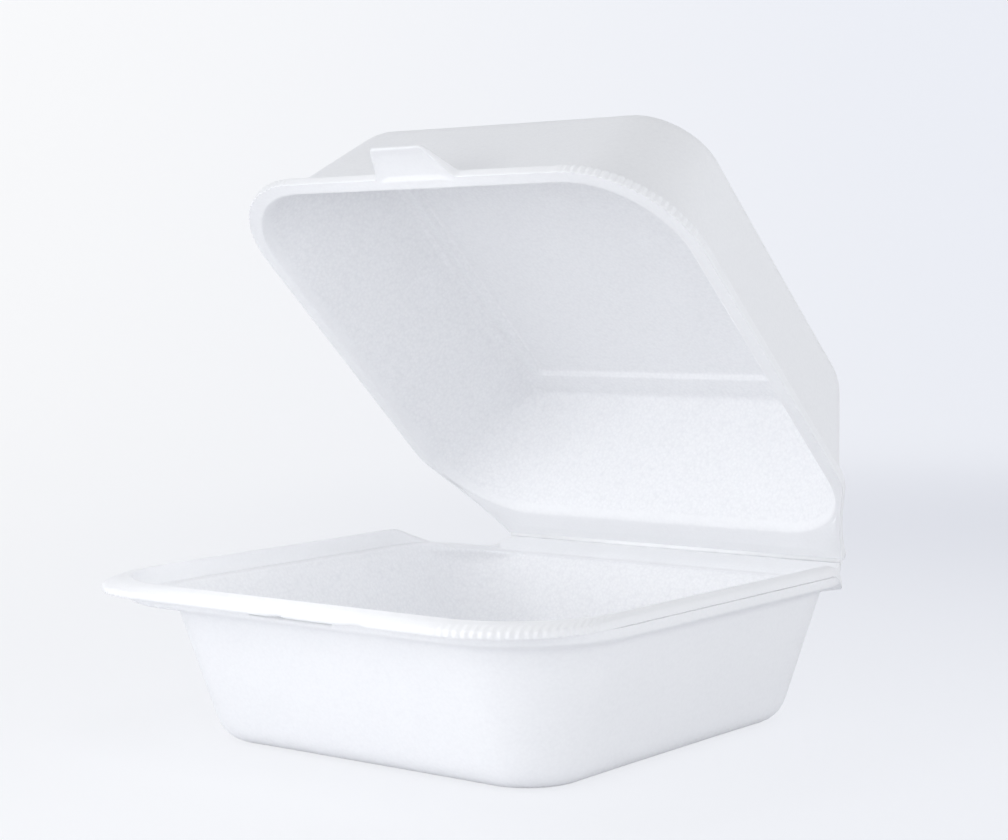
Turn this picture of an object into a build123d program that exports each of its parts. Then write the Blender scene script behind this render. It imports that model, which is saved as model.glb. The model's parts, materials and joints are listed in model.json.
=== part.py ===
"""Hinged food box moulded from one foam sheet: a tray, and a lid on a thin crease at the back.

X runs along the crease, Y from the latch at the front (-Y) to the crease at the back (+Y), Z up.
The origin is the centre of the tray's underside, and the lid stands open as it does at rest.
Lengths are in millimetres and angles in degrees.
"""
from build123d import *
import math
import os

# Sheet
sheet = 2.6

# Tray body: its outside at the ledge, and how much narrower the floor is on each side
tray_wall_half_x = 67.8
tray_wall_half_y = 67.8
tray_wall_corner = 26.5
tray_splay_x = 12.6
tray_splay_y = 11.95
tray_floor_corner = 15
tray_floor_round = 8.5
tray_depth = 38.9

# Crease, and the tongue of flange on each half that runs out to it
crease_reach = 7.7
crease_gap = 0.15
tongue_half_x = 62.0
lid_open_angle = 43.5

# Tray rim: how far it stands out from the wall, and the lip that stands round its ledge
rim_reach_side = 7.2
rim_reach_front = 17.2
rim_tuck_back = 0.8
rim_corner = 26.5
rim_back_corner = 20.0
rim_round = 1.0
lip_height = 4.55
lip_top_side = 3.0
lip_top_front = 5.5
riser_side = 1.6
riser_front = 2.6
shoulder_round = 2.0
ledge_round = 2.0

# Back of the tray rim: it sinks below the ledge in a soft S, then climbs to the crease
sink_run = 19.0
sink_to_back = 11.0
sink_depth = 0.9
valley_to_crease = 8.0
valley_depth = 2.0

# Lid: its rim drops inside the tray's lip, and its dome is narrower at the top on each side
nest_gap = 0.6
lid_flange_side = 3.1
lid_flange_front = 6.1
lid_tuck_back = 7.2
lid_rim_corner = 27.6
lid_rim_back_corner = 16.0
lid_rim_round = 0.9
lid_wall_half_y = 67.2
lid_wall_corner = 26.5
lid_height = 39.65
lid_splay_side = 12.3
lid_splay_front = 10.5
lid_splay_back = 13.7
lid_top_corner = 17.5
lid_top_round = 6.2
lid_mouth_round = 2.2
panel_border = 9.5
panel_step = 1.1
panel_corner = 9.0

# Latch: a thin pressed tab on the lid and a slot for it under the tray's front lip
tab_root_half_x = 13.0
tab_taper = 4.0
tab_reach = 10.5
tab_round = 2.5
tab_thickness = 1.2
latch_clearance = 0.35

# Values that follow from the sizes above
bite = sheet / 2
ledge_z = tray_depth
shoulder_z = ledge_z - sheet
rim_z = ledge_z + lip_height
crease_z = ledge_z + crease_gap
lid_base_z = crease_z + crease_gap
top_z = lid_base_z + lid_height
crease_y = tray_wall_half_y + crease_reach
tray_back = crease_y - crease_gap
tray_floor_half_x = tray_wall_half_x - tray_splay_x
tray_floor_half_y = tray_wall_half_y - tray_splay_y
rim_half_x = tray_wall_half_x + rim_reach_side
rim_front = tray_wall_half_y + rim_reach_front
rim_back = tray_wall_half_y - rim_tuck_back
recess_half_x = rim_half_x - lip_top_side
recess_front = rim_front - lip_top_front
recess_corner = rim_corner - lip_top_side
shoulder_half_x = recess_half_x + riser_side
shoulder_front = recess_front + riser_front
lip_overhang = rim_half_x - shoulder_half_x
sink_end_y = rim_back - sink_to_back
sink_start_y = sink_end_y - sink_run
sink_z = ledge_z - sink_depth
valley_y = crease_y - valley_to_crease
valley_z = ledge_z - valley_depth
lid_rim_half_x = recess_half_x - nest_gap
lid_rim_front = lid_wall_half_y + lid_flange_front
lid_rim_back = lid_wall_half_y - lid_tuck_back
lid_wall_half_x = lid_rim_half_x - lid_flange_side
lid_top_half_x = lid_wall_half_x - lid_splay_side
lid_top_front = lid_wall_half_y - lid_splay_front
lid_top_back = lid_wall_half_y - lid_splay_back
tab_tip_half_x = tab_root_half_x - tab_taper
tab_base_z = ledge_z + latch_clearance
slot_top_z = tab_base_z + tab_thickness + latch_clearance
slot_half_x = tab_root_half_x + latch_clearance
reach = 2 * (rim_front + crease_y)


def plate_outline(half_x, front, back, front_corner, back_corner, z=0.0):
    """A flat rectangle from -front to +back whose front and back corners have their own radii."""
    face = Pos(0, (back - front) / 2, z) * Rectangle(2 * half_x, front + back)
    face = fillet(face.vertices().group_by(Axis.Y)[0], front_corner)
    face = fillet(face.vertices().group_by(Axis.Y)[-1], back_corner)
    return face


def tongue_outline(half_x, front, back):
    """The plain rectangle that carries a flange out to the crease."""
    return Pos(0, (back - front) / 2) * Rectangle(2 * half_x, front + back)


def runs_round(edge):
    """True for a flange edge that follows the rim: not one that stands upright or is on the tongue."""
    middle = edge @ 0.5
    upright = abs((edge % 0.5).Z) > 0.9
    on_tongue = middle.Y > 0 and abs(middle.X) < tongue_half_x + crease_gap
    return not upright and not on_tongue


def runs_inside(edge, half_x, half_y):
    """True for an edge whose middle lies within half_x and half_y of the origin's upright axis."""
    middle = edge @ 0.5
    return abs(middle.X) < half_x and abs(middle.Y) < half_y


def wall_inset(run, rise):
    """The sheet's thickness measured level across a wall that leans by run over rise."""
    return sheet * math.hypot(run, rise) / rise


def sink_profile(drop):
    """The side outline of all that lies below the rim's top face lowered by drop."""
    middle_y = (sink_start_y + sink_end_y) / 2
    path = [
        Line((-reach, rim_z - drop), (sink_start_y, rim_z - drop)),
        Bezier(
            (sink_start_y, rim_z - drop),
            (middle_y, rim_z - drop),
            (middle_y, sink_z - drop),
            (sink_end_y, sink_z - drop),
        ),
        Line((sink_end_y, sink_z - drop), (valley_y, valley_z - drop)),
        Line((valley_y, valley_z - drop), (tray_back, ledge_z - drop)),
        Line((tray_back, ledge_z - drop), (tray_back, -reach)),
        Line((tray_back, -reach), (-reach, -reach)),
        Line((-reach, -reach), (-reach, rim_z - drop)),
    ]
    return extrude(Plane.YZ * make_face(path), reach, both=True)


def tray_shell():
    """The tray's floor and splayed walls up to the ledge, with the cavity as a solid of its own."""
    outer = loft([
        plate_outline(tray_floor_half_x, tray_floor_half_y, tray_floor_half_y,
                      tray_floor_corner, tray_floor_corner),
        plate_outline(tray_wall_half_x, tray_wall_half_y, tray_wall_half_y,
                      tray_wall_corner, tray_wall_corner, ledge_z),
    ])
    outer = fillet(outer.edges().group_by(Axis.Z)[0], tray_floor_round)

    lean_x = tray_splay_x / tray_depth
    lean_y = tray_splay_y / tray_depth
    inset_x = wall_inset(lean_x, 1)
    inset_y = wall_inset(lean_y, 1)
    above = rim_z + sheet - ledge_z
    cavity = loft([
        plate_outline(tray_floor_half_x + lean_x * sheet - inset_x,
                      tray_floor_half_y + lean_y * sheet - inset_y,
                      tray_floor_half_y + lean_y * sheet - inset_y,
                      tray_floor_corner - inset_x, tray_floor_corner - inset_x, sheet),
        plate_outline(tray_wall_half_x + lean_x * above - inset_x,
                      tray_wall_half_y + lean_y * above - inset_y,
                      tray_wall_half_y + lean_y * above - inset_y,
                      tray_wall_corner - inset_x, tray_wall_corner - inset_x, ledge_z + above),
    ])
    cavity = fillet(cavity.edges().group_by(Axis.Z)[0], tray_floor_round - sheet)
    return outer, cavity


def tray_rim():
    """The lip, the riser below it and the ledge that the shut lid rests on, still without the cavity."""
    rim_outline = plate_outline(rim_half_x, rim_front, rim_back, rim_corner, rim_back_corner)
    tongue = tongue_outline(tongue_half_x, 0, tray_back)
    lip = extrude(rim_outline + tongue, reach)
    lip = (lip & sink_profile(0)) - sink_profile(sheet)
    lip = fillet(lip.edges().filter_by(runs_round), rim_round)

    shoulder = extrude(
        plate_outline(shoulder_half_x, shoulder_front, rim_back - lip_overhang,
                      rim_corner - lip_overhang, rim_back_corner - lip_overhang, shoulder_z),
        rim_z - shoulder_z,
    )
    shoulder = fillet(shoulder.edges().group_by(Axis.Z)[0], shoulder_round)
    shoulder = shoulder & sink_profile(bite)

    recess = extrude(
        plate_outline(recess_half_x, recess_front, reach, recess_corner, recess_corner, ledge_z),
        reach,
    )
    return (lip + shoulder) - recess


def make_tray():
    """The lower half: the walls, the rim, the crease flange and the latch slot."""
    outer, cavity = tray_shell()
    tray = (outer & sink_profile(bite)) + tray_rim() - cavity
    mouth_half_x = tray_wall_half_x - sheet
    mouth_half_y = tray_wall_half_y - sheet
    mouth = tray.edges().filter_by_position(Axis.Z, valley_z, rim_z)
    mouth = mouth.filter_by(lambda edge: runs_inside(edge, mouth_half_x, mouth_half_y))
    tray = fillet(mouth, ledge_round)
    slot_depth = rim_front - recess_front
    slot = Pos(0, -recess_front - slot_depth / 2 + bite, (ledge_z + slot_top_z) / 2) * Box(
        2 * slot_half_x, slot_depth + sheet, slot_top_z - ledge_z)
    return tray - slot


def make_lid():
    """The upper half in its shut place: rim flange, dome with its stepped panel, and tab."""
    flange = extrude(
        plate_outline(lid_rim_half_x, lid_rim_front, lid_rim_back, lid_rim_corner,
                      lid_rim_back_corner, lid_base_z)
        + Pos(0, 0, lid_base_z) * tongue_outline(tongue_half_x, 0, tray_back),
        sheet,
    )
    flange = fillet(flange.edges().filter_by(runs_round), lid_rim_round)

    dome = loft([
        plate_outline(lid_wall_half_x, lid_wall_half_y, lid_wall_half_y,
                      lid_wall_corner, lid_wall_corner, lid_base_z),
        plate_outline(lid_top_half_x, lid_top_front, lid_top_back,
                      lid_top_corner, lid_top_corner, top_z),
    ])
    dome = fillet(dome.edges().group_by(Axis.Z)[-1], lid_top_round)

    lean_x = lid_splay_side / lid_height
    lean_front = lid_splay_front / lid_height
    lean_back = lid_splay_back / lid_height
    inset_x = wall_inset(lean_x, 1)
    inset_front = wall_inset(lean_front, 1)
    inset_back = wall_inset(lean_back, 1)
    border_drop = sheet + panel_step
    ceiling_half_x = lid_top_half_x + lean_x * border_drop - inset_x
    ceiling_front = lid_top_front + lean_front * border_drop - inset_front
    ceiling_back = lid_top_back + lean_back * border_drop - inset_back
    hollow = loft([
        plate_outline(lid_wall_half_x + lean_x * sheet - inset_x,
                      lid_wall_half_y + lean_front * sheet - inset_front,
                      lid_wall_half_y + lean_back * sheet - inset_back,
                      lid_wall_corner - inset_x, lid_wall_corner - inset_x, lid_base_z - sheet),
        plate_outline(ceiling_half_x, ceiling_front, ceiling_back,
                      lid_top_corner - inset_x, lid_top_corner - inset_x, top_z - border_drop),
    ])
    hollow = fillet(hollow.edges().group_by(Axis.Z)[-1], lid_top_round)
    panel = loft([
        plate_outline(ceiling_half_x - panel_border, ceiling_front - panel_border,
                      ceiling_back - panel_border, panel_corner, panel_corner,
                      top_z - border_drop - bite),
        plate_outline(ceiling_half_x - panel_border - panel_step,
                      ceiling_front - panel_border - panel_step,
                      ceiling_back - panel_border - panel_step,
                      panel_corner, panel_corner, top_z - sheet),
    ])

    tab_face = Polygon(
        (-tab_root_half_x, 0),
        (-tab_tip_half_x, -tab_reach),
        (tab_tip_half_x, -tab_reach),
        (tab_root_half_x, 0),
        (tab_root_half_x, sheet),
        (-tab_root_half_x, sheet),
        align=None,
    )
    tab_face = fillet(tab_face.vertices().group_by(Axis.Y)[0], tab_round)
    tab = extrude(Pos(0, -lid_rim_front, tab_base_z) * tab_face, tab_thickness)

    shell = dome - hollow - panel
    mouth = shell.faces().sort_by(Axis.Z)[0].inner_wires()[0]
    shell = fillet(mouth.edges(), lid_mouth_round)
    return (flange + tab - dome) + shell


def write_parts():
    """Turn the lid to its rest angle and write each half to its own file."""
    tray = make_tray()
    lid = make_lid().rotate(Axis((0, crease_y, crease_z), (-1, 0, 0)), lid_open_angle)
    os.makedirs("parts", exist_ok=True)
    export_step(tray, "parts/base_tray.step")
    export_step(lid, "parts/lid.step")


write_parts()
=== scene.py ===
"""Looks of a hinged foam food box: its tray, its domed lid, the foam they are moulded from, the studio.

Sizes in the classes are millimetres unless their docstring says otherwise. The meshes are in metres.
The lid is shaped in its shut place and then turned about the crease to its rest angle.
"""
from __future__ import annotations

import json
import logging
import math
from dataclasses import dataclass, field
from enum import Enum
from typing import Any, ClassVar, Iterable, Sequence

import bmesh
import bpy
from mathutils import Matrix, Vector

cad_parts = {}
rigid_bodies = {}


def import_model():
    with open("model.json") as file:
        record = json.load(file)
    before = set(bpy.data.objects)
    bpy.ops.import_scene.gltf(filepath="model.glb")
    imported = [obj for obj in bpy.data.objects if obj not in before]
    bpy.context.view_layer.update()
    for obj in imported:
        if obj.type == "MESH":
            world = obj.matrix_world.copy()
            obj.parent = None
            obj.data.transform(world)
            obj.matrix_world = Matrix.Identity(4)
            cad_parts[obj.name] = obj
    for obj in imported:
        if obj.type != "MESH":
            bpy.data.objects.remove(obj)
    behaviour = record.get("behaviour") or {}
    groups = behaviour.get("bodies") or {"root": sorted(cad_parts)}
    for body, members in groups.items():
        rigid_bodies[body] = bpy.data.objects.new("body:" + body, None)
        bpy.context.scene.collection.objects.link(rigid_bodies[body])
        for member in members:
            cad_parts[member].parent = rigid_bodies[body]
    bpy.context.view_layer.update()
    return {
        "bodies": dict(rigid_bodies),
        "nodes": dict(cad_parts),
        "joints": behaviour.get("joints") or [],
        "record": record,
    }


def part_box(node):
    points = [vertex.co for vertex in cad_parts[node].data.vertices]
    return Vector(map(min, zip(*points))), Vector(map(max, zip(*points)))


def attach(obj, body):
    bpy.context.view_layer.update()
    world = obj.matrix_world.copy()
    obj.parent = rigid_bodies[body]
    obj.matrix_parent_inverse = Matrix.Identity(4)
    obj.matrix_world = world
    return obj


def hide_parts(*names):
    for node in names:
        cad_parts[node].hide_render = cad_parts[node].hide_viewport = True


MM = 0.001
IMAGE_WIDTH = 1008
SENSOR_WIDTH_MM = 36.0

log = logging.getLogger("foam_box")

Point = tuple[float, float, float]
Colour = tuple[float, float, float]


class Half(Enum):
    """The two halves of the box, each named as its body in the frame."""

    TRAY = "tray"
    LID = "lid"


def smooth(low: float, high: float, value: float) -> float:
    """Ease from 0 at low to 1 at high.

    Args:
        low: Value at which the easing starts.
        high: Value at which it ends.
        value: Value to ease.

    Returns:
        A number from 0 to 1.
    """
    share = min(1.0, max(0.0, (value - low) / (high - low)))
    return share * share * (3.0 - 2.0 * share)


@dataclass(frozen=True)
class Counts:
    """How many steps each stretch of a ring takes, from the front's middle round to the back's."""

    tab: int = 12
    tab_side: int = 14
    front: int = 26
    corner: int = 126
    side: int = 46
    back_corner: int = 14
    tongue: int = 22
    back: int = 20

    @property
    def half(self) -> int:
        """Steps along one half of the ring."""
        front = self.tab + self.tab_side + self.front
        return front + self.corner + self.side + self.back_corner + self.tongue + self.back

    @property
    def ring(self) -> int:
        """Vertices in a whole ring."""
        return 2 * self.half


@dataclass(frozen=True)
class Outline:
    """A rounded rectangle in plan, with a tongue at its back that may reach out to the crease.

    back_turn is how far, in degrees, the back corner turns before it flows into the tongue, and
    tongue_lean is how much wider the tongue gets for each millimetre that it runs forward from the
    crease.
    """

    side: float
    front: float
    back: float
    corner: float
    back_corner: float
    tongue_half: float = 0.0
    tongue_back: float = 0.0
    back_turn: float = 20.0
    tongue_lean: float = 0.0

    def right_half(self, counts: Counts, tab_half: float,
                   tab_taper: float) -> list[tuple[float, float]]:
        """Points down the right half, from the front's middle round to the back's middle.

        Args:
            counts: Steps for each stretch.
            tab_half: Half width of the latch tab at its root.
            tab_taper: How much narrower each side of the tab is at its tip.

        Returns:
            One (x, y) for each step and one more for the end.
        """
        tip = tab_half - tab_taper
        front_end = self.side - self.corner
        points = [(tip * i / counts.tab, -self.front) for i in range(counts.tab)]
        points += [(tip + tab_taper * i / counts.tab_side, -self.front) for i in range(counts.tab_side)]
        run = front_end - tab_half
        points += [(tab_half + run * i / counts.front, -self.front) for i in range(counts.front)]
        centre_y = -self.front + self.corner
        for i in range(counts.corner):
            turn = math.pi / 2 * i / counts.corner
            points.append((front_end + self.corner * math.sin(turn),
                           centre_y - self.corner * math.cos(turn)))
        back_y = self.back - self.back_corner
        points += [(self.side, centre_y + (back_y - centre_y) * i / counts.side)
                   for i in range(counts.side)]

        turn = math.radians(self.back_turn)
        points += [self.on_back_corner(turn * i / counts.back_corner)
                   for i in range(counts.back_corner)]
        if self.tongue_half:
            corner_end = (self.tongue_half, self.tongue_back)
            points += self.flow(turn, corner_end, counts.tongue)
        else:
            corner_end = self.on_back_corner(math.pi / 2)
            rest = math.pi / 2 - turn
            points += [self.on_back_corner(turn + rest * i / counts.tongue)
                       for i in range(counts.tongue)]
        points += [(corner_end[0] * (1 - i / counts.back), corner_end[1])
                   for i in range(counts.back + 1)]
        return points

    def on_back_corner(self, turn: float) -> tuple[float, float]:
        """The point of the back corner's arc at a turn, in radians from the side."""
        centre_x, centre_y = self.side - self.back_corner, self.back - self.back_corner
        return (centre_x + self.back_corner * math.cos(turn),
                centre_y + self.back_corner * math.sin(turn))

    def flow(self, turn: float, end: tuple[float, float], steps: int) -> list[tuple[float, float]]:
        """Points on a curve that leaves the back corner along its arc and runs down the tongue's side.

        Args:
            turn: Where the curve leaves the corner, in radians from the side.
            end: The tongue's corner at the crease.
            steps: How many points.

        Returns:
            The points, without the end itself.
        """
        x, y = self.on_back_corner(turn)
        lean = self.tongue_lean
        reach = (x - end[0] - lean * (end[1] - y)) / (math.sin(turn) - lean * math.cos(turn))
        knee = Vector((x - reach * math.sin(turn), y + reach * math.cos(turn)))
        start, goal = Vector((x, y)), Vector(end)
        shares = [i / steps for i in range(steps)]
        return [tuple(start * (1 - t) ** 2 + knee * (2 * t * (1 - t)) + goal * t ** 2)
                for t in shares]


@dataclass(frozen=True)
class Station:
    """One ring of the moulded sheet's section.

    height is the ring's level, below keeps it that far under the rim's top face where the rim sinks,
    dip drops it at the back and push shifts it towards the crease there. soft is the length of its
    rounding, and pleated is its share of the corner's pleats. tab and tab_height place it on the latch
    tab, and window opens the band that follows it for the tab. dented is its share of the lip's small
    dents, and beads is how plainly the foam's beads show on it.
    """

    outline: Outline
    height: float
    below: float = 0.0
    dip: float = 0.0
    push: float = 0.0
    soft: float = 0.0
    pleated: float = 0.0
    tab: float = 0.0
    tab_height: float | None = None
    window: bool = False
    dented: float = 0.0
    beads: float = 0.3


@dataclass(frozen=True)
class Pleats:
    """The small upright folds that the sheet takes round the front corners of a lip."""

    pitch: float = 2.0
    depth: float = 0.42
    lead_in: float = 9.0

    def inward(self, run: float, corner_length: float) -> float:
        """How far the lip is drawn in at a place along its corner.

        Args:
            run: Distance along the outline from where the corner starts.
            corner_length: Length of the corner's arc.

        Returns:
            The depth there, in millimetres.
        """
        near = smooth(-self.lead_in, self.lead_in, run)
        far = smooth(-self.lead_in, self.lead_in, corner_length - run)
        wave = 0.5 - 0.5 * math.cos(2 * math.pi * run / self.pitch)
        return self.depth * (near * far) * wave


class Moulding:
    """A closed foam sheet, made by extruding a ring through the stations of its section.

    Each dent is the place of its middle along x and its width. dent_lift is how much it raises the lip
    for each millimetre that it goes in. A rounding takes at most rounding_limit of the way to the next
    ring.
    """

    rounding_steps: ClassVar[int] = 7
    rounding_limit: ClassVar[float] = 0.49
    dents: ClassVar[tuple[tuple[float, float], ...]] = ((1.5, 1.6), (25.5, 2.2))
    dent_depth: ClassVar[float] = 0.55
    dent_lift: ClassVar[float] = 0.6
    tab_ease: ClassVar[float] = 0.05
    weld: ClassVar[float] = 0.002

    def __init__(self, name: str, stations: Sequence[Station], tab_half: float, tab_taper: float,
                 tab_reach: float = 0.0) -> None:
        """Hold what the sheet is made from.

        Args:
            name: Name of the finished object.
            stations: Rings from the middle of the inner face, round the rim, to that of the outer.
            tab_half: Half width of the latch tab at its root.
            tab_taper: How much narrower each side of the tab is at its tip.
            tab_reach: How far the tab stands out.
        """
        self.name = name
        self.stations = stations
        self.counts = Counts()
        self.pleats = Pleats()
        self.tab_half = tab_half
        self.tab_taper = tab_taper
        self.tab_reach = tab_reach

    def top_face(self, y: float) -> float:
        """Level of the rim's top face at y. A flat rim has no limit."""
        return math.inf

    def back_share(self, y: float) -> float:
        """How much of the dip at the back applies at y."""
        return 0.0

    def tab_share(self, x: float) -> float:
        """How far out the tab stands at x, from 0 beside it to 1 at its tip."""
        return 1.0 - smooth(self.tab_half - self.tab_taper, self.tab_half + self.tab_ease, abs(x))

    def ring_points(self, station: Station) -> list[Vector]:
        """Every point of one station's ring, in slot order, the right half first."""
        outline = station.outline
        half = outline.right_half(self.counts, self.tab_half, self.tab_taper)
        corner_start = self.counts.tab + self.counts.tab_side + self.counts.front
        corner_length = math.pi / 2 * outline.corner
        raised = []
        for index, (x, y) in enumerate(half):
            at_back = self.back_share(y)
            height = min(station.height, self.top_face(y) - station.below)
            height -= station.dip * at_back
            y += station.push * at_back
            if index < corner_start:
                share = self.tab_share(x)
                y -= station.tab * self.tab_reach * share
                if station.tab_height is not None:
                    height += (station.tab_height - height) * share
            if station.pleated:
                run = (index - corner_start) / self.counts.corner * corner_length
                draw = station.pleated * self.pleats.inward(run, corner_length)
                turn = min(math.pi / 2, max(0.0, run / outline.corner))
                x -= draw * math.sin(turn)
                y += draw * math.cos(turn)
            raised.append(Vector((x, y, height)))
        left = [Vector((-p.x, p.y, p.z)) for p in reversed(raised[1:-1])]
        ring = raised + left
        for point in ring:
            if station.dented and point.y < 0.0:
                depth = station.dented * self.dent(point.x)
                point.y += depth
                point.z += self.dent_lift * depth
        return ring

    def dent(self, x: float) -> float:
        """Depth of the lip's dents at x."""
        return self.dent_depth * sum(math.exp(-((x - middle) / width) ** 2)
                                     for middle, width in self.dents)

    def rings(self) -> list[tuple[list[Vector], Station]]:
        """All rings with their stations, each soft station opened into a rounding."""
        bare = [self.ring_points(station) for station in self.stations]
        done = []
        for index, station in enumerate(self.stations):
            if station.soft == 0.0:
                done.append((bare[index], station))
                continue
            before, here, after = bare[index - 1], bare[index], bare[index + 1]
            starts = [self.toward(p, q, station.soft) for p, q in zip(here, before)]
            ends = [self.toward(p, q, station.soft) for p, q in zip(here, after)]
            for step in range(self.rounding_steps + 1):
                share = step / self.rounding_steps
                ring = [
                    a * (1 - share) ** 2 + p * (2 * share * (1 - share)) + b * share ** 2
                    for a, p, b in zip(starts, here, ends)
                ]
                done.append((ring, station))
        return done

    @classmethod
    def toward(cls, start: Vector, goal: Vector, length: float) -> Vector:
        """The point that length from start towards goal, and never past their middle."""
        gap = goal - start
        share = min(cls.rounding_limit, length / gap.length) if gap.length > 0 else 0.0
        return start + gap * share

    def build(self) -> bpy.types.Object:
        """Make the closed mesh.

        Returns:
            The object, linked to the scene, with its place in its mesh.
        """
        mesh = bmesh.new()
        slot = mesh.verts.layers.int.new("slot")
        beads = mesh.verts.layers.float.new("beads")
        count = self.counts.ring
        made = bmesh.ops.create_circle(mesh, segments=count, radius=1.0)
        around = sorted(made["verts"], key=lambda v: math.atan2(v.co.y, v.co.x))
        for index, vert in enumerate(around):
            vert[slot] = index
        rings = self.rings()
        edges = list(mesh.edges)
        self.place(around, slot, beads, rings[0])
        bmesh.ops.contextual_create(mesh, geom=edges)
        cut = []
        for last, ring in zip(rings, rings[1:]):
            grown = bmesh.ops.extrude_edge_only(mesh, edges=edges)["geom"]
            edges = [item for item in grown if isinstance(item, bmesh.types.BMEdge)]
            moved = [item for item in grown if isinstance(item, bmesh.types.BMVert)]
            self.place(moved, slot, beads, ring)
            if last[1].window:
                band = [item for item in grown if isinstance(item, bmesh.types.BMFace)]
                cut += [face for face in band if self.crosses_window(face, slot)]
        bmesh.ops.contextual_create(mesh, geom=edges)
        if cut:
            bmesh.ops.delete(mesh, geom=cut, context="FACES")
            rims = [edge for edge in mesh.edges if edge.is_boundary]
            bmesh.ops.bridge_loops(mesh, edges=rims)
        bmesh.ops.remove_doubles(mesh, verts=mesh.verts, dist=self.weld * MM)
        bmesh.ops.recalc_face_normals(mesh, faces=mesh.faces)
        for face in mesh.faces:
            face.smooth = True
        return finish_mesh(mesh, self.name)

    def crosses_window(self, face: bmesh.types.BMFace, slot: Any) -> bool:
        """Whether a face lies between the two ends of the latch's window."""
        return all(min(vert[slot], self.counts.ring - vert[slot]) <= self.counts.tab
                   for vert in face.verts)

    @staticmethod
    def place(verts: Iterable[bmesh.types.BMVert], slot: Any, beads: Any,
              ring: tuple[Sequence[Vector], Station]) -> None:
        """Move a ring's vertices to their points, by slot, and note how plainly beads show on them."""
        points, station = ring
        for vert in verts:
            vert.co = points[vert[slot]] * MM
            vert[beads] = station.beads


def finish_mesh(mesh: bmesh.types.BMesh, name: str) -> bpy.types.Object:
    """Turn a bmesh into an object in the scene.

    Args:
        mesh: The mesh, which is freed.
        name: Name for the object and its data.

    Returns:
        The linked object.
    """
    data = bpy.data.meshes.new(name)
    mesh.to_mesh(data)
    mesh.free()
    thing = bpy.data.objects.new(name, data)
    bpy.context.scene.collection.objects.link(thing)
    return thing


@dataclass(frozen=True)
class BoxSizes:
    """The sizes that both halves share, most of them read from the frame.

    tongue_draw is how far a tongue's end is drawn in for each millimetre that its rim is.
    """

    rim_side: float
    rim_front: float
    rim_top: float
    crease_y: float
    crease_z: float
    rest_angle: float
    sheet: float = 2.6
    crease_bead: float = 0.45
    tongue_draw: float = 0.3

    @classmethod
    def from_frame(cls, frame: dict[str, Any]) -> BoxSizes:
        """Read the rim's box and the crease's joint.


        Returns:
            The shared sizes, in millimetres and degrees.
        """
        low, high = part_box("base_tray")
        joint = frame["joints"][0]
        return cls(
            rim_side=high.x / MM,
            rim_front=-low.y / MM,
            rim_top=high.z / MM,
            crease_y=joint["pos_m"][1] / MM,
            crease_z=joint["pos_m"][2] / MM,
            rest_angle=-joint["range_deg"][0],
        )


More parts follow.
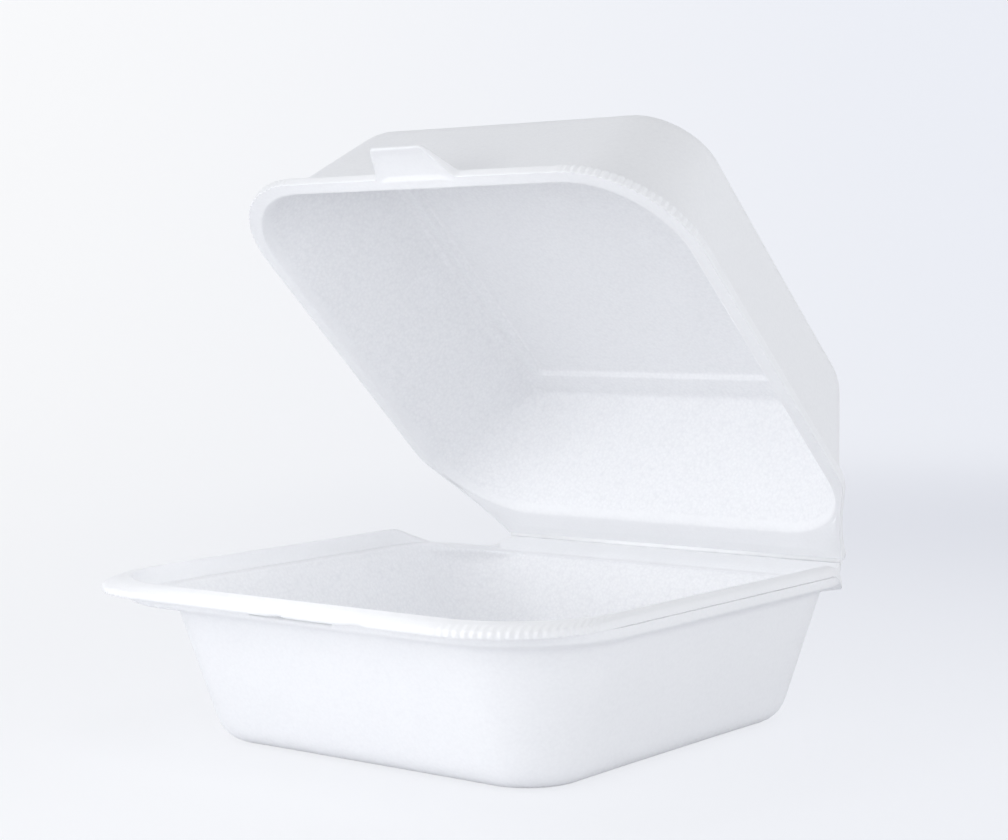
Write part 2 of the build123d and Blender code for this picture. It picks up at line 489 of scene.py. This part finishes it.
@dataclass
class Tray(Moulding):
    """The lower half: floor, splayed walls, recessed ledge, standing lip and crease flange.

    The rim's top face sinks from sink_start to sink_end, runs down into a valley and climbs to
    crease_rise above the ledge at the crease. The cavity's edge drops from drop_start to drop_end. The
    bead sizes are how far the soft bead round the cavity stands out from its mouth. The wall is
    wall_share sheets thick, and neck is the level at which it meets the lip's underside.
    """

    sizes: BoxSizes
    wall: float = 67.8
    splay_side: float = 12.6
    splay_end: float = 11.95
    wall_corner: float = 26.5
    floor_corner: float = 15.0
    floor_soft: float = 6.6
    inner_floor_corner: float = 10.0
    inner_floor_back_corner: float = 6.5
    inner_wall_corner: float = 21.0
    back_thicker: float = 0.9
    brow_back_corner: float = 15.5
    mouth_back_corner: float = 26.5
    lip_height: float = 4.55
    rim_back: float = 64.5
    back_corner: float = 27.5
    tongue_half: float = 57.0
    brow_drop: float = 6.0
    sink_start: float = 38.5
    sink_end: float = 54.0
    sink_depth: float = 0.9
    valley_run: float = 8.0
    valley_depth: float = 2.4
    crease_rise: float = 0.1
    drop_start: float = 40.0
    drop_end: float = 61.0
    back_turn: float = 50.0
    tongue_lean: float = 0.08
    wall_share: float = 1.03
    bead_side: float = 1.5
    bead_front: float = 1.7
    bead_back: float = 0.9
    neck: float = 35.0
    window_rise: float = 1.8
    window_half: float = 13.9
    window_taper: float = 0.5
    centre: Outline = Outline(42.0, 43.0, 43.0, 8.0, 8.0)

    def __post_init__(self) -> None:
        """Work out the section and hand it to the moulding."""
        super().__init__("tray_foam", self.section(), self.window_half, self.window_taper)

    @property
    def ledge(self) -> float:
        """Level of the ledge that the shut lid rests on."""
        return self.sizes.rim_top - self.lip_height

    def top_face(self, y: float) -> float:
        """Level of the rim's top face, which sinks to the crease flange and climbs to the crease."""
        low = self.ledge - self.sink_depth
        valley_y = self.sizes.crease_y - self.valley_run
        valley = self.ledge - self.valley_depth
        top = self.sizes.rim_top
        if y < self.sink_end:
            return top + (low - top) * smooth(self.sink_start, self.sink_end, y)
        if y < valley_y:
            return low + (valley - low) * smooth(self.sink_end, valley_y, y)
        end = self.ledge + self.crease_rise
        return valley + (end - valley) * (y - valley_y) / self.valley_run

    def back_share(self, y: float) -> float:
        """The cavity's edge drops round the back corners."""
        return smooth(self.drop_start, self.drop_end, y)

    def wall_outline(self, level: float, inset: float) -> Outline:
        """Outline of the wall at a level, drawn in by inset."""
        lean = level / self.ledge - 1.0
        side = self.wall + self.splay_side * lean - inset
        end = self.wall + self.splay_end * lean - inset
        corner = self.floor_corner + (self.wall_corner - self.floor_corner) * (1.0 + lean) - inset
        return Outline(side, end, end, corner, corner)

    def cavity_outline(self, level: float) -> Outline:
        """Outline of the cavity at a level. Its corners open out upwards, most at the mouth's back."""
        wall = self.wall_outline(level, self.sizes.sheet * self.wall_share)
        share = level / self.ledge
        low, low_back = self.inner_floor_corner, self.inner_floor_back_corner
        corner = low + (self.inner_wall_corner - low) * share
        back_corner = low_back + (self.brow_back_corner - low_back) * share
        open_share = smooth(self.ledge - self.brow_drop, self.ledge, level)
        back_corner += (self.mouth_back_corner - self.brow_back_corner) * open_share
        return Outline(wall.side, wall.front, wall.back - self.back_thicker, corner, back_corner)

    def rim_outline(self, draw_side: float, draw_front: float, draw_back: float,
                    rounder: float = 0.0) -> Outline:
        """Outline of the rim and its tongue, drawn in at the sides, the front and the crease."""
        return Outline(
            self.sizes.rim_side - draw_side,
            self.sizes.rim_front - draw_front,
            self.rim_back - draw_side,
            self.wall_corner - draw_side + rounder,
            self.back_corner - draw_side,
            self.tongue_half - self.sizes.tongue_draw * draw_side,
            self.sizes.crease_y - self.sizes.crease_bead - draw_back,
            back_turn=self.back_turn,
            tongue_lean=self.tongue_lean,
        )

    def section(self) -> list[Station]:
        """Rings from the middle of the floor's inside, over the lip, to the middle of its underside."""
        sheet = self.sizes.sheet
        ledge = self.ledge
        top = self.sizes.rim_top
        brow = ledge - self.brow_drop
        mouth = self.cavity_outline(ledge)
        bead = Outline(mouth.side + self.bead_side, mouth.front + self.bead_front,
                       mouth.back + self.bead_back, mouth.corner + self.bead_side,
                       mouth.back_corner + self.bead_side)
        return [
            Station(self.centre, sheet, beads=1.0),
            Station(self.cavity_outline(sheet), sheet, soft=4.8, beads=1.0),
            Station(self.cavity_outline(brow), brow, soft=3.0, beads=1.0),
            Station(mouth, ledge - 1.3, dip=1.6, soft=1.6, beads=0.8),
            Station(bead, ledge + 0.5, dip=1.2, soft=0.9),
            Station(self.rim_outline(5.0, 10.1, 8.4, 3.0), ledge - 0.6, dip=0.4, below=0.45,
                    soft=0.9),
            Station(self.rim_outline(3.5, 8.9, 6.4, 3.0), ledge - 0.1, below=0.10, soft=0.15),
            Station(self.rim_outline(3.4, 8.8, 6.2, 3.0), ledge + 0.05, below=0.08, window=True,
                    beads=0.1),
            Station(self.rim_outline(3.1, 8.6, 5.9, 3.0), ledge + self.window_rise, below=0.04,
                    beads=0.1),
            Station(self.rim_outline(2.5, 8.1, 5.2, 3.0), top, soft=1.0, beads=0.1),
            Station(self.rim_outline(1.3, 3.6, 2.6, 1.5), top - 0.3, soft=0.8, pleated=0.9,
                    beads=0.1),
            Station(self.rim_outline(0.25, 0.15, 0.0), top - 1.3, soft=1.0, pleated=1.0, beads=0.1),
            Station(self.rim_outline(0.1, 0.0, 0.6), top - 3.0, below=2.5, soft=0.8, pleated=0.9,
                    dented=1.0, beads=0.1),
            Station(self.rim_outline(0.8, 2.6, 1.5), top - 3.1, below=2.6, soft=0.3, dented=0.6),
            Station(self.rim_outline(0.25, 5.9, 2.0, 4.0), top - 3.2, below=2.65, soft=0.1),
            Station(self.rim_outline(0.25, 6.0, 2.1, 4.0), top - 3.3, below=2.7, window=True),
            Station(self.rim_outline(0.35, 6.2, 2.3, 4.0), ledge + 0.05, below=2.75),
            Station(self.rim_outline(0.6, 6.8, 3.0, 4.0), ledge - 1.2, below=2.8, soft=1.2),
            Station(self.wall_outline(self.neck, 0.0), self.neck, below=2.9, soft=1.7),
            Station(self.wall_outline(0.0, 0.0), 0.0, soft=self.floor_soft),
            Station(self.centre, 0.0),
        ]


@dataclass
class Lid(Moulding):
    """The upper half: rim flange with its latch tab, splayed walls and stepped top panel.

    nest_gap is how far the flange's side lies inside the tray's rim, and base_rise how far the flange's
    contact face lies above the crease when shut. The hollow's edge rises from rise_start to rise_end.
    The panel is a step above the ceiling, inside the two borders.
    """

    sizes: BoxSizes
    nest_gap: float = 3.6
    rim_front: float = 73.3
    rim_back: float = 56.5
    rim_corner: float = 27.6
    back_corner: float = 19.0
    tongue_half: float = 57.6
    wall_side: float = 68.3
    wall_front: float = 70.2
    wall_back: float = 67.2
    wall_corner: float = 26.5
    height: float = 38.9
    splay_side: float = 12.3
    splay_front: float = 13.5
    splay_back: float = 13.7
    top_corner: float = 17.5
    top_soft: float = 7.0
    ceiling_side: float = 50.5
    ceiling_front: float = 53.0
    ceiling_back: float = 50.6
    ceiling_corner: float = 3.0
    ridge_rise: float = 4.5
    ridge_side: float = 65.2
    ridge_front: float = 66.4
    ridge_back: float = 62.6
    ridge_corner: float = 21.0
    mouth_side: float = 67.3
    mouth_front: float = 69.4
    mouth_back: float = 64.4
    mouth_corner: float = 25.0
    mouth_back_corner: float = 24.5
    border_side: float = 4.6
    border_end: float = 8.4
    step: float = 1.4
    tab_half: float = 13.2
    tab_taper: float = 5.8
    tab_reach: float = 10.2
    tab_sheet: float = 1.2
    base_rise: float = 0.15
    rise_start: float = 44.0
    rise_end: float = 62.0
    back_turn: float = 27.0
    tongue_lean: float = 0.17
    mouth_round: float = 1.3
    panel_corner: float = 2.5
    panel_slope: float = 0.8
    inner_corner: float = 2.0
    centre: Outline = Outline(30.0, 30.0, 28.0, 2.0, 2.0)
    cap: Outline = Outline(38.0, 38.0, 36.0, 9.0, 9.0)

    def __post_init__(self) -> None:
        """Work out the section and hand it to the moulding."""
        super().__init__("lid_foam", self.section(), self.tab_half, self.tab_taper, self.tab_reach)

    def back_share(self, y: float) -> float:
        """The hollow's edge rises into the lid round the back corners."""
        return smooth(self.rise_start, self.rise_end, y)

    def wall_outline(self, level: float) -> Outline:
        """Outline of the wall's outside at a level above the flange's contact face."""
        share = level / self.height
        corner = self.wall_corner + (self.top_corner - self.wall_corner) * share
        return Outline(
            self.wall_side - self.splay_side * share,
            self.wall_front - self.splay_front * share,
            self.wall_back - self.splay_back * share,
            corner,
            corner,
        )

    def mouth_outline(self, grow: float = 0.0) -> Outline:
        """Outline of the hollow at its mouth, let out by grow."""
        return Outline(
            self.mouth_side + grow,
            self.mouth_front + grow,
            self.mouth_back + grow,
            self.mouth_corner + grow,
            self.mouth_back_corner + grow,
        )

    def rim_outline(self, draw: float, draw_back: float) -> Outline:
        """Outline of the rim flange and its tongue, drawn in all round and at the crease."""
        return Outline(
            self.sizes.rim_side - self.nest_gap - draw,
            self.rim_front - draw,
            self.rim_back - draw,
            self.rim_corner - draw,
            self.back_corner - draw,
            self.tongue_half - self.sizes.tongue_draw * draw,
            self.sizes.crease_y - self.sizes.crease_bead - draw_back,
            back_turn=self.back_turn,
            tongue_lean=self.tongue_lean,
        )

    def section(self) -> list[Station]:
        """Rings from the middle of the ceiling's inside, over the flange, to the middle of the top."""
        sheet = self.sizes.sheet
        base = self.sizes.crease_z + self.base_rise
        ceiling = base + self.height - sheet - self.step
        top = base + self.height
        rim = Outline(self.ceiling_side, self.ceiling_front, self.ceiling_back,
                      self.ceiling_corner, self.ceiling_corner)
        ridge = Outline(self.ridge_side, self.ridge_front, self.ridge_back,
                        self.ridge_corner, self.ridge_corner)
        panel = Outline(rim.side - self.border_side, rim.front - self.border_end,
                        rim.back - self.border_end, self.panel_corner, self.panel_corner)
        inner = Outline(panel.side - self.panel_slope, panel.front - self.panel_slope,
                        panel.back - self.panel_slope, self.inner_corner, self.inner_corner)
        mouth = self.mouth_outline()
        tab_top = base + self.tab_sheet
        return [
            Station(self.centre, top - sheet, beads=0.7),
            Station(inner, top - sheet, soft=0.5, beads=0.7),
            Station(panel, ceiling, soft=0.4, beads=0.7),
            Station(rim, ceiling, soft=1.6, beads=1.0),
            Station(ridge, base + self.ridge_rise, push=-0.5, soft=1.6, beads=1.0),
            Station(mouth, base, dip=-0.7, push=0.2, soft=2.2, beads=0.3),
            Station(self.mouth_outline(self.mouth_round), base, dip=-0.5, push=0.4, soft=0.4, beads=0.2),
            Station(self.rim_outline(1.2, 4.0), base, soft=0.3, tab=0.04, tab_height=base - 0.1,
                    beads=0.1),
            Station(self.rim_outline(0.6, 1.6), base, tab=0.12, tab_height=base + 0.4, soft=0.4,
                    pleated=0.5, beads=0.1),
            Station(self.rim_outline(0.45, 1.0), base, tab=0.8, tab_height=base + 0.3, soft=0.4,
                    pleated=0.7, beads=0.1),
            Station(self.rim_outline(0.0, 0.0), base - 0.1, tab=1.0, tab_height=base, soft=0.8,
                    pleated=1.0, beads=0.1),
            Station(self.rim_outline(0.0, 0.2), base + sheet, tab=1.0, tab_height=tab_top, soft=0.8,
                    pleated=1.0, beads=0.1),
            Station(self.rim_outline(0.9, 1.0), base + sheet, tab=0.85, tab_height=tab_top, soft=0.4,
                    pleated=0.5, beads=0.1),
            Station(self.rim_outline(1.4, 2.0), base + sheet, tab=0.08, tab_height=tab_top, soft=0.3,
                    beads=0.1),
            Station(self.wall_outline(sheet), base + sheet, soft=1.3),
            Station(self.wall_outline(self.height), top, soft=self.top_soft),
            Station(self.cap, top),
        ]

    def build(self) -> bpy.types.Object:
        """Make the shut lid, then turn it about the crease to its rest angle."""
        thing = super().build()
        crease = Vector((0.0, self.sizes.crease_y, self.sizes.crease_z)) * MM
        turn = Matrix.Rotation(-math.radians(self.sizes.rest_angle), 4, "X")
        thing.data.transform(Matrix.Translation(crease) @ turn @ Matrix.Translation(-crease))
        return thing


@dataclass
class Crease:
    """The pressed line of foam that joins the two halves.

    radius_share is its radius, in widths of the gap that each half leaves for it.
    """

    sizes: BoxSizes
    half_length: float = 56.8
    radius_share: float = 1.9
    segments: int = 16

    def build(self) -> bpy.types.Object:
        """Make the line along the crease's axis.

        Returns:
            The linked object.
        """
        mesh = bmesh.new()
        radius = self.radius_share * self.sizes.crease_bead * MM
        bmesh.ops.create_cone(mesh, cap_ends=True, segments=self.segments, radius1=radius,
                              radius2=radius, depth=2 * self.half_length * MM)
        bmesh.ops.rotate(mesh, verts=mesh.verts, cent=(0, 0, 0),
                         matrix=Matrix.Rotation(math.pi / 2, 3, "Y"))
        middle = Vector((0.0, self.sizes.crease_y, self.sizes.crease_z)) * MM
        bmesh.ops.translate(mesh, verts=mesh.verts, vec=middle)
        for face in mesh.faces:
            face.smooth = len(face.verts) == 4
        return finish_mesh(mesh, "crease_foam")


class Signal:
    """A shader socket that takes Python's arithmetic and adds a Math node for each operation."""

    def __init__(self, finish: FinishGraph, socket: bpy.types.NodeSocket) -> None:
        """Wrap a socket of a finish's graph."""
        self.finish = finish
        self.socket = socket

    def combine(self, operation: str, first: Signal | float, second: Signal | float) -> Signal:
        """Add one Math node and return its result."""
        node = self.finish.node("ShaderNodeMath", {"operation": operation},
                                {0: first, 1: second})
        return Signal(self.finish, node.outputs[0])

    def __add__(self, other: Signal | float) -> Signal:
        """Sum."""
        return self.combine("ADD", self, other)

    def __sub__(self, other: Signal | float) -> Signal:
        """Difference."""
        return self.combine("SUBTRACT", self, other)

    def __mul__(self, other: Signal | float) -> Signal:
        """Product."""
        return self.combine("MULTIPLY", self, other)


class FinishGraph:
    """A material's node graph, with one method that adds any node."""

    def __init__(self, name: str) -> None:
        """Start an empty graph."""
        self.material = bpy.data.materials.new(name)
        self.material.use_nodes = True
        self.tree = self.material.node_tree
        self.tree.nodes.clear()

    def node(self, kind: str, settings: dict[str, Any] | None = None,
             inputs: dict[int | str, Any] | None = None) -> bpy.types.Node:
        """Add a node, set its settings, then its sockets.

        Args:
            kind: The node's type name.
            settings: Attributes, which are set first.
            inputs: Values or signals by socket name or index.

        Returns:
            The new node.
        """
        made = self.tree.nodes.new(kind)
        for key, value in (settings or {}).items():
            setattr(made, key, value)
        for key, value in (inputs or {}).items():
            if isinstance(value, Signal):
                self.tree.links.new(value.socket, made.inputs[key])
            elif isinstance(value, bpy.types.NodeSocket):
                self.tree.links.new(value, made.inputs[key])
            else:
                made.inputs[key].default_value = value
        return made

    def signal(self, node: bpy.types.Node, output: int | str = 0) -> Signal:
        """One output of a node as a signal."""
        return Signal(self, node.outputs[output])


@dataclass(frozen=True)
class FoamFinish:
    """White expanded foam: fine beads that show on the moulded insides and fade on the pressed rims.

    Each of bead, grain and cloud has a size, and a share of the bump, the mottling or the roughness.
    plain_bump and plain_mottle are what is left of those two where no beads show. mottle_start is the
    mottling that still counts as the plain colour.
    """

    name: str = "white_foam"
    colour: Colour = (0.955, 0.96, 0.972)
    shade: Colour = (0.83, 0.835, 0.86)
    bead_size: float = 0.95
    grain_size: float = 0.5
    cloud_size: float = 16.0
    roughness: float = 0.5
    specular: float = 0.4
    bump_depth: float = 0.10
    bump_strength: float = 0.7
    bead_bump: float = -0.8
    grain_bump: float = 0.7
    plain_bump: float = 0.1
    bead_mottle: float = 0.6
    grain_mottle: float = 0.5
    cloud_mottle: float = 0.18
    mottle_start: float = 0.3
    plain_mottle: float = 0.2
    bead_rough: float = 0.1
    grain_rough: float = 0.2

    def material(self) -> bpy.types.Material:
        """Build the material.

        Returns:
            The finished material.
        """
        graph = FinishGraph(self.name)
        place = graph.node("ShaderNodeTexCoord").outputs["Object"]
        beads = graph.signal(graph.node("ShaderNodeAttribute", {"attribute_name": "beads"}), "Fac")
        cell = graph.signal(graph.node(
            "ShaderNodeTexVoronoi", {"feature": "F1"},
            {"Vector": place, "Scale": 1.0 / (self.bead_size * MM), "Randomness": 1.0},
        ), "Distance")
        grain = self.noise(graph, place, self.grain_size, 1.0, 0.6)
        cloud = self.noise(graph, place, self.cloud_size, 2.0, 0.5)
        height = cell * self.bead_bump + grain * self.grain_bump
        height *= beads * (1.0 - self.plain_bump) + self.plain_bump
        bump = graph.node("ShaderNodeBump", {}, {
            "Height": height, "Strength": self.bump_strength, "Distance": self.bump_depth * MM,
        })
        mottle = cell * self.bead_mottle + grain * self.grain_mottle - self.mottle_start
        mottle *= beads * (1.0 - self.plain_mottle) + self.plain_mottle
        mottle += cloud * self.cloud_mottle
        rough = grain * self.grain_rough + beads * self.bead_rough
        colour = graph.node(
            "ShaderNodeMix", {"data_type": "RGBA", "clamp_factor": True},
            {"Factor": mottle, 6: (*self.colour, 1.0), 7: (*self.shade, 1.0)},
        ).outputs[2]
        shader = graph.node("ShaderNodeBsdfPrincipled", {}, {
            "Base Color": colour,
            "Roughness": rough + (self.roughness - self.grain_rough / 2),
            "Normal": bump.outputs["Normal"],
            "Specular IOR Level": self.specular,
        })
        graph.node("ShaderNodeOutputMaterial", {}, {"Surface": shader.outputs["BSDF"]})
        return graph.material

    @staticmethod
    def noise(graph: FinishGraph, place: bpy.types.NodeSocket, size: float, detail: float,
              roughness: float) -> Signal:
        """Noise whose features are size millimetres across."""
        return graph.signal(graph.node("ShaderNodeTexNoise", {}, {
            "Vector": place, "Scale": 1.0 / (size * MM), "Detail": detail, "Roughness": roughness,
        }), "Fac")


@dataclass(frozen=True)
class SweepFinish:
    """The pale paper that the box stands on and in front of, with painted shade to the right and a
    painted shadow behind the box.

    paper is what lights the box. The camera sees seen_share of the other colours, painted on as a glow,
    which run from the painted-light left colour to the painted-shade right colour along across, and
    towards the painted shadow colour near its place, where its share of it shows. Reaches and places
    are metres.
    """

    name: str = "pale_sweep"
    paper: Colour = (0.92, 0.925, 0.945)
    # Painted light and shade: the lighter colour on the left, where the light falls, the darker on the
    # right.
    left: Colour = (0.985, 0.99, 1.0)
    right: Colour = (0.85, 0.875, 0.945)
    # Painted shadow of the box on the paper, darkest near its place behind the box.
    painted_shadow: Colour = (0.60, 0.62, 0.70)
    across: Point = (0.78, 0.6257, 0.0)
    across_reach: float = 0.55
    shadow_place: Point = (-0.10, 0.45, 0.0)
    shadow_reach: float = 0.5
    shadow_share: float = 0.6
    seen_share: float = 0.82

    def material(self) -> bpy.types.Material:
        """Build the material: matt paper, lightened by a painted glow where the camera sees it, with
        painted shade to the right and a painted shadow behind the box.

        Returns:
            The finished material.
        """
        graph = FinishGraph(self.name)
        place = graph.node("ShaderNodeTexCoord").outputs["Object"]
        across = graph.signal(graph.node(
            "ShaderNodeVectorMath", {"operation": "DOT_PRODUCT"}, {0: place, 1: self.across},
        ), "Value")
        side = graph.signal(graph.node("ShaderNodeMapRange", {"interpolation_type": "SMOOTHSTEP"}, {
            "Value": across, "From Min": -self.across_reach, "From Max": self.across_reach,
        }))
        away = graph.signal(graph.node(
            "ShaderNodeVectorMath", {"operation": "DISTANCE"}, {0: place, 1: self.shadow_place},
        ), "Value")
        # Painted shadow: darker near its place behind the box, strongest to the right.
        shadow_amount = graph.signal(graph.node("ShaderNodeMapRange", {"interpolation_type": "SMOOTHSTEP"}, {
            "Value": away, "From Min": 0.0, "From Max": self.shadow_reach, "To Min": self.shadow_share,
            "To Max": 0.0,
        }))
        # Painted light and shade: lighter to the left, darker to the right.
        base = graph.node("ShaderNodeMix", {"data_type": "RGBA"}, {
            "Factor": side, 6: (*self.left, 1.0), 7: (*self.right, 1.0),
        }).outputs[2]
        seen = graph.node("ShaderNodeMix", {"data_type": "RGBA"}, {
            "Factor": shadow_amount * side, 6: base, 7: (*self.painted_shadow, 1.0),
        }).outputs[2]
        matt = graph.node("ShaderNodeBsdfDiffuse", {}, {"Color": (*self.paper, 1.0)})
        # Painted glow: the camera sees these colours as light given off by the paper.
        glow = graph.node("ShaderNodeEmission", {}, {"Color": seen, "Strength": 1.0})
        rays = graph.signal(graph.node("ShaderNodeLightPath"), "Is Camera Ray")
        mixed = graph.node("ShaderNodeMixShader", {}, {
            0: rays * self.seen_share, 1: matt.outputs[0], 2: glow.outputs[0],
        })
        graph.node("ShaderNodeOutputMaterial", {}, {"Surface": mixed.outputs[0]})
        return graph.material


@dataclass(frozen=True)
class PhotoCamera:
    """Where the photograph was taken from, as angles round a point in the box. Clips are metres."""

    azimuth: float = 38.74
    elevation: float = 3.99
    roll: float = -0.84
    distance: float = 625.0
    target: Point = (-40.56, 51.93, 75.71)
    focal_pixels: float = 2164.85
    clip: tuple[float, float] = (0.01, 20.0)

    def build(self) -> None:
        """Make the camera and set it as the scene's."""
        az, el, roll = (math.radians(v) for v in (self.azimuth, self.elevation, self.roll))
        away = Vector((math.sin(az) * math.cos(el), -math.cos(az) * math.cos(el), math.sin(el)))
        right = (-away).cross(Vector((0.0, 0.0, 1.0))).normalized()
        above = right.cross(-away)
        turned_right = right * math.cos(roll) + above * math.sin(roll)
        turned_up = above * math.cos(roll) - right * math.sin(roll)
        data = bpy.data.cameras.new("photo_camera")
        data.sensor_fit = "HORIZONTAL"
        data.sensor_width = SENSOR_WIDTH_MM
        data.lens = self.focal_pixels / IMAGE_WIDTH * SENSOR_WIDTH_MM
        data.clip_start, data.clip_end = self.clip
        camera = bpy.data.objects.new("photo_camera", data)
        where = (Vector(self.target) + away * self.distance) * MM
        facing = Matrix((turned_right, turned_up, away)).transposed().to_4x4()
        camera.matrix_world = Matrix.Translation(where) @ facing
        bpy.context.scene.collection.objects.link(camera)
        bpy.context.scene.camera = camera


@dataclass(frozen=True)
class Lamp:
    """One soft square lamp, aimed at the box. Its sizes are metres and watts."""

    name: str
    place: Point
    width: float
    power: float
    aim: Point = (0.0, 0.0, 0.06)

    def build(self) -> None:
        """Hang the lamp and turn it to its aim, out of the camera's sight."""
        data = bpy.data.lights.new(self.name, "AREA")
        data.shape = "SQUARE"
        data.size = self.width
        data.energy = self.power
        lamp = bpy.data.objects.new(self.name, data)
        lamp.visible_camera = False
        where = Vector(self.place)
        facing = (Vector(self.aim) - where).to_track_quat("-Z", "Y")
        lamp.matrix_world = Matrix.Translation(where) @ facing.to_matrix().to_4x4()
        bpy.context.scene.collection.objects.link(lamp)


@dataclass
class Studio:
    """The pale sweep, the lamps and the even light all round. Its lengths are metres.

    The air's strength is air_base plus the product of its direction and air_lean. The cards point down
    beside the box, and the glow points into the tray. All hang clear of the lid's swing.
    """

    floor_reach: float = 2.4
    bend_start: float = 0.75
    bend_radius: float = 0.9
    bend_steps: int = 24
    wall_height: float = 2.2
    air_colour: Colour = (0.958, 0.972, 1.0)
    air_base: float = 1.235
    air_lean: Point = (-0.04, -0.10, -0.90)
    lamps: tuple[Lamp, ...] = (
        Lamp("key_left", (-0.75, -1.2, 0.25), 1.2, 5.6),
        Lamp("fill_right", (1.35, 0.2, 0.22), 1.0, 2.5),
        Lamp("tray_glow", (0.0, -0.1, 0.135), 0.05, 0.036, aim=(-0.01, -0.065, 0.0)),
        Lamp("front_card", (0.05, -0.25, 0.08), 0.20, 0.040, aim=(0.05, -0.249, 0.0)),
        Lamp("side_card", (0.23, 0.0, 0.08), 0.16, 0.012, aim=(0.231, 0.0, 0.0)),
    )
    finish: SweepFinish = field(default_factory=SweepFinish)

    def sweep(self) -> None:
        """Make the paper: a flat floor that bends up into a backdrop, square to the camera's view."""
        profile = [(-self.floor_reach, 0.0)]
        for step in range(self.bend_steps + 1):
            turn = math.pi / 2 * step / self.bend_steps
            profile.append((self.bend_start + self.bend_radius * math.sin(turn),
                            self.bend_radius * (1 - math.cos(turn))))
        profile.append((self.bend_start + self.bend_radius, self.wall_height))
        mesh = bmesh.new()
        path = [bmesh.ops.create_vert(mesh, co=(0.0, y, z))["vert"][0] for y, z in profile]
        edges = [mesh.edges.new((a, b)) for a, b in zip(path, path[1:])]
        bmesh.ops.translate(mesh, verts=mesh.verts, vec=(-self.floor_reach, 0.0, 0.0))
        grown = bmesh.ops.extrude_edge_only(mesh, edges=edges)["geom"]
        moved = [item for item in grown if isinstance(item, bmesh.types.BMVert)]
        bmesh.ops.translate(mesh, verts=moved, vec=(2 * self.floor_reach, 0.0, 0.0))
        bmesh.ops.rotate(mesh, verts=mesh.verts, cent=(0, 0, 0),
                         matrix=Matrix.Rotation(math.radians(PhotoCamera.azimuth), 3, "Z"))
        bmesh.ops.recalc_face_normals(mesh, faces=mesh.faces)
        for face in mesh.faces:
            face.smooth = True
        paper = finish_mesh(mesh, "paper_sweep")
        paper.data.materials.append(self.finish.material())

    def world(self) -> None:
        """Light the scene from all round, brightest low down at the front left."""
        world = bpy.data.worlds.new("studio_air")
        world.use_nodes = True
        nodes = world.node_tree.nodes
        back = nodes["Background"]
        back.inputs["Color"].default_value = (*self.air_colour, 1.0)
        toward = nodes.new("ShaderNodeTexCoord")
        lean = nodes.new("ShaderNodeVectorMath")
        lean.operation = "DOT_PRODUCT"
        lean.inputs[1].default_value = self.air_lean
        total = nodes.new("ShaderNodeMath")
        total.operation = "ADD"
        total.inputs[1].default_value = self.air_base
        links = world.node_tree.links
        links.new(toward.outputs["Generated"], lean.inputs[0])
        links.new(lean.outputs["Value"], total.inputs[0])
        links.new(total.outputs[0], back.inputs["Strength"])
        bpy.context.scene.world = world

    def build(self) -> None:
        """Set up the paper, the air and the lamps."""
        self.sweep()
        self.world()
        for lamp in self.lamps:
            lamp.build()
        bpy.context.scene.view_settings.view_transform = "Standard"


def main() -> None:
    """Build the box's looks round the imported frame."""
    logging.basicConfig(level=logging.INFO, format="%(name)s: %(message)s")
    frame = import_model()
    PhotoCamera().build()
    sizes = BoxSizes.from_frame(frame)
    foam = FoamFinish().material()
    parts = (
        (Tray(sizes), Half.TRAY, "base_tray"),
        (Lid(sizes), Half.LID, "lid"),
        (Crease(sizes), Half.TRAY, None),
    )
    for part, half, node in parts:
        piece = part.build()
        piece.data.materials.append(foam)
        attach(piece, half.value)
        if node:
            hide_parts(node)
        log.info("%s: %d vertices on body %s", piece.name, len(piece.data.vertices), half.value)
    Studio().build()


if __name__ == "__main__":
    main()
